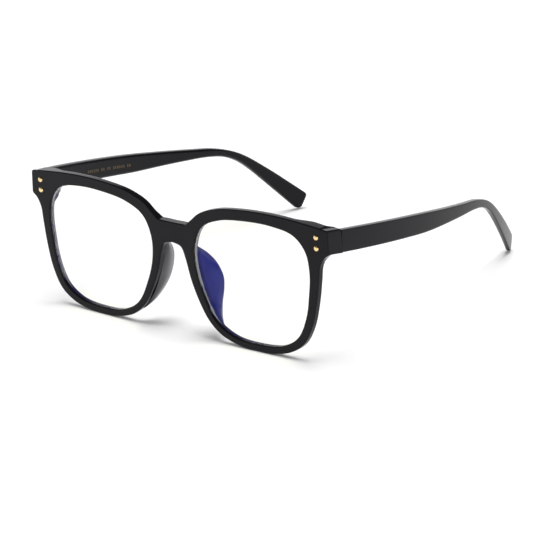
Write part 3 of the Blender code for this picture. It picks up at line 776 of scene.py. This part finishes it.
def lens_material():
    """Clear plastic with a faint yellow tint, under a coating that reflects blue and violet. Near the top
    both are painted yellower, as shade.
    """
    material, nodes, links = new_material("coated lens")
    nodes.remove(nodes["Principled BSDF"])
    place = nodes.new("ShaderNodeTexCoord")
    axes = nodes.new("ShaderNodeSeparateXYZ")
    links.new(place.outputs["Object"], axes.inputs["Vector"])
    # The lens's height between these, which sets the painted shade near its top.
    height = nodes.new("ShaderNodeMapRange")
    height.inputs["From Min"].default_value, height.inputs["From Max"].default_value = LENS_TOP_SHADE_HEIGHTS
    links.new(axes.outputs["Z"], height.inputs["Value"])
    both = nodes.new("ShaderNodeAddShader")
    links.new(lens_tint_and_top_shade(nodes, links, height.outputs["Result"]), both.inputs[0])
    coating = lens_coating(nodes, links, height.outputs["Result"], place.outputs["Normal"])
    links.new(coating, both.inputs[1])
    links.new(both.outputs["Shader"], nodes["Material Output"].inputs["Surface"])
    return material


def metal_material(name, dark, light, rough, stretch=(1.0, 1.0, 1.0)):
    """Polished metal with fine grain, drawn out into lines where it is stretched."""
    material, nodes, links = new_material(name)
    shader = nodes["Principled BSDF"]
    shader.inputs["Metallic"].default_value = 1.0
    lines = noise(nodes, links, 1600.0, 2.0, stretch)
    colour = ramp(nodes, links, lines.outputs["Fac"], [(0.3, dark), (0.7, light)])
    links.new(colour, shader.inputs["Base Color"])
    links.new(spread(nodes, links, lines.outputs["Fac"], *rough), shader.inputs["Roughness"])
    add_bump(nodes, links, lines.outputs["Fac"], 0.05, 0.00001)
    return material


def floor_material():
    material, nodes, links = new_material("white sweep")
    shader = nodes["Principled BSDF"]
    paper = noise(nodes, links, 30.0, 2.0)
    colour = ramp(nodes, links, paper.outputs["Fac"], [(0.3, (0.90, 0.90, 0.90)), (0.7, (0.92, 0.92, 0.92))])
    links.new(colour, shader.inputs["Base Color"])
    shader.inputs["Roughness"].default_value = 0.7
    shader.inputs["Specular IOR Level"].default_value = 0.1
    return material


def make_materials():
    black = ((0.003, 0.003, 0.0035), (0.005, 0.005, 0.006))
    pad_black = ((0.005, 0.005, 0.007), (0.009, 0.009, 0.012))
    gold = ((0.78, 0.54, 0.24), (0.90, 0.70, 0.38))
    nickel = ((0.57, 0.56, 0.54), (0.64, 0.63, 0.60))
    print_gold = ((0.07, 0.055, 0.035), (0.16, 0.12, 0.07))
    return {
        "acetate": acetate_material("black acetate", *black, rough=(0.1, 0.17), level=0.17),
        "pad": acetate_material("nose pad acetate", *pad_black, rough=(0.1, 0.16), level=0.22),
        "lens": lens_material(),
        "gold": metal_material("gold plate", *gold, rough=(0.05, 0.12)),
        "steel": metal_material("nickel silver", *nickel, rough=(0.2, 0.28), stretch=(1.0, 1.0, 6.0)),
        "marking": metal_material("dull gold print", *print_gold, rough=(0.4, 0.6)),
        "floor": floor_material(),
    }


# ---------------------------------------------------------------- studio


def make_floor(materials):
    bm = bmesh.new()
    bmesh.ops.create_grid(bm, x_segments=8, y_segments=8, size=FLOOR_SIZE)
    floor = new_object("floor", bm, Vector((0.0, 0.0, -FLOOR_DROP)), materials["floor"])


def make_sun(name, spread_degrees, towards, strength):
    """A soft light from a round stretch of the sky, which reflections leave out."""
    data = bpy.data.lights.new(name, "SUN")
    data.angle = radians(spread_degrees)
    data.energy = strength
    light = bpy.data.objects.new(name, data)
    light.rotation_euler = Vector(towards).to_track_quat("Z", "Y").to_euler()
    light.visible_glossy = False
    bpy.context.scene.collection.objects.link(light)


def make_world():
    """A sky that is bright near the horizon and dark overhead, which gives black edges their dark line."""
    world = bpy.data.worlds.new("studio")
    world.use_nodes = True
    nodes, links = world.node_tree.nodes, world.node_tree.links
    place = nodes.new("ShaderNodeTexCoord")
    axes = nodes.new("ShaderNodeSeparateXYZ")
    links.new(place.outputs["Generated"], axes.inputs["Vector"])
    stops = [(SKY_BRIGHT_BELOW, (1.0, 1.0, 1.0)), (SKY_DARK_ABOVE, (0.06, 0.06, 0.065))]
    links.new(ramp(nodes, links, axes.outputs["Z"], stops), nodes["Background"].inputs["Color"])
    nodes["Background"].inputs["Strength"].default_value = SKY_STRENGTH
    bpy.context.scene.world = world


def make_studio(materials):
    make_floor(materials)
    make_world()
    make_sun("wide overhead", 90.0, (0.0, 0.0, 1.0), 0.9)
    make_sun("tight overhead", 36.0, (0.0, 0.05, 1.0), 2.5)


def make_camera(shift):
    """The camera, turned to its azimuth and elevation about the target, and rolled about its own line."""
    azimuth, elevation, roll = radians(CAMERA_AZIMUTH), radians(CAMERA_ELEVATION), radians(CAMERA_ROLL)
    level = cos(elevation)
    back = Vector((sin(azimuth) * level, -cos(azimuth) * level, sin(elevation)))
    right = (-back).cross(Vector((0, 0, 1))).normalized()
    up = right.cross(-back)
    turned_right = right * cos(roll) + up * sin(roll)
    turned_up = up * cos(roll) - right * sin(roll)
    data = bpy.data.cameras.new("camera")
    data.sensor_width = SENSOR_WIDTH
    data.lens = CAMERA_LENS
    camera = bpy.data.objects.new("camera", data)
    place = (Vector(CAMERA_TARGET) + shift + back * CAMERA_DISTANCE) * MM
    turn = Matrix((turned_right, turned_up, back)).transposed().to_4x4()
    camera.matrix_world = Matrix.Translation(place) @ turn
    bpy.context.scene.collection.objects.link(camera)
    bpy.context.scene.camera = camera


# ---------------------------------------------------------------- scene


def make_scene():
    shift = drawing_shift()
    materials = make_materials()
    make_camera(shift)
    make_front(shift, materials)
    for side_name, side in SIDES.items():
        make_lens(side_name, side, shift, materials)
        make_nose_pad(side_name, side, shift, materials)
        for height_name, z in RIVET_HEIGHTS.items():
            make_front_rivet(height_name, z, side_name, side, shift, materials)
        make_temple(side_name, side, shift, materials)
    finish_kept_nodes(materials["steel"])
    make_marking(shift, materials)
    make_studio(materials)
    bpy.context.scene.view_settings.view_transform = "Standard"


make_scene()
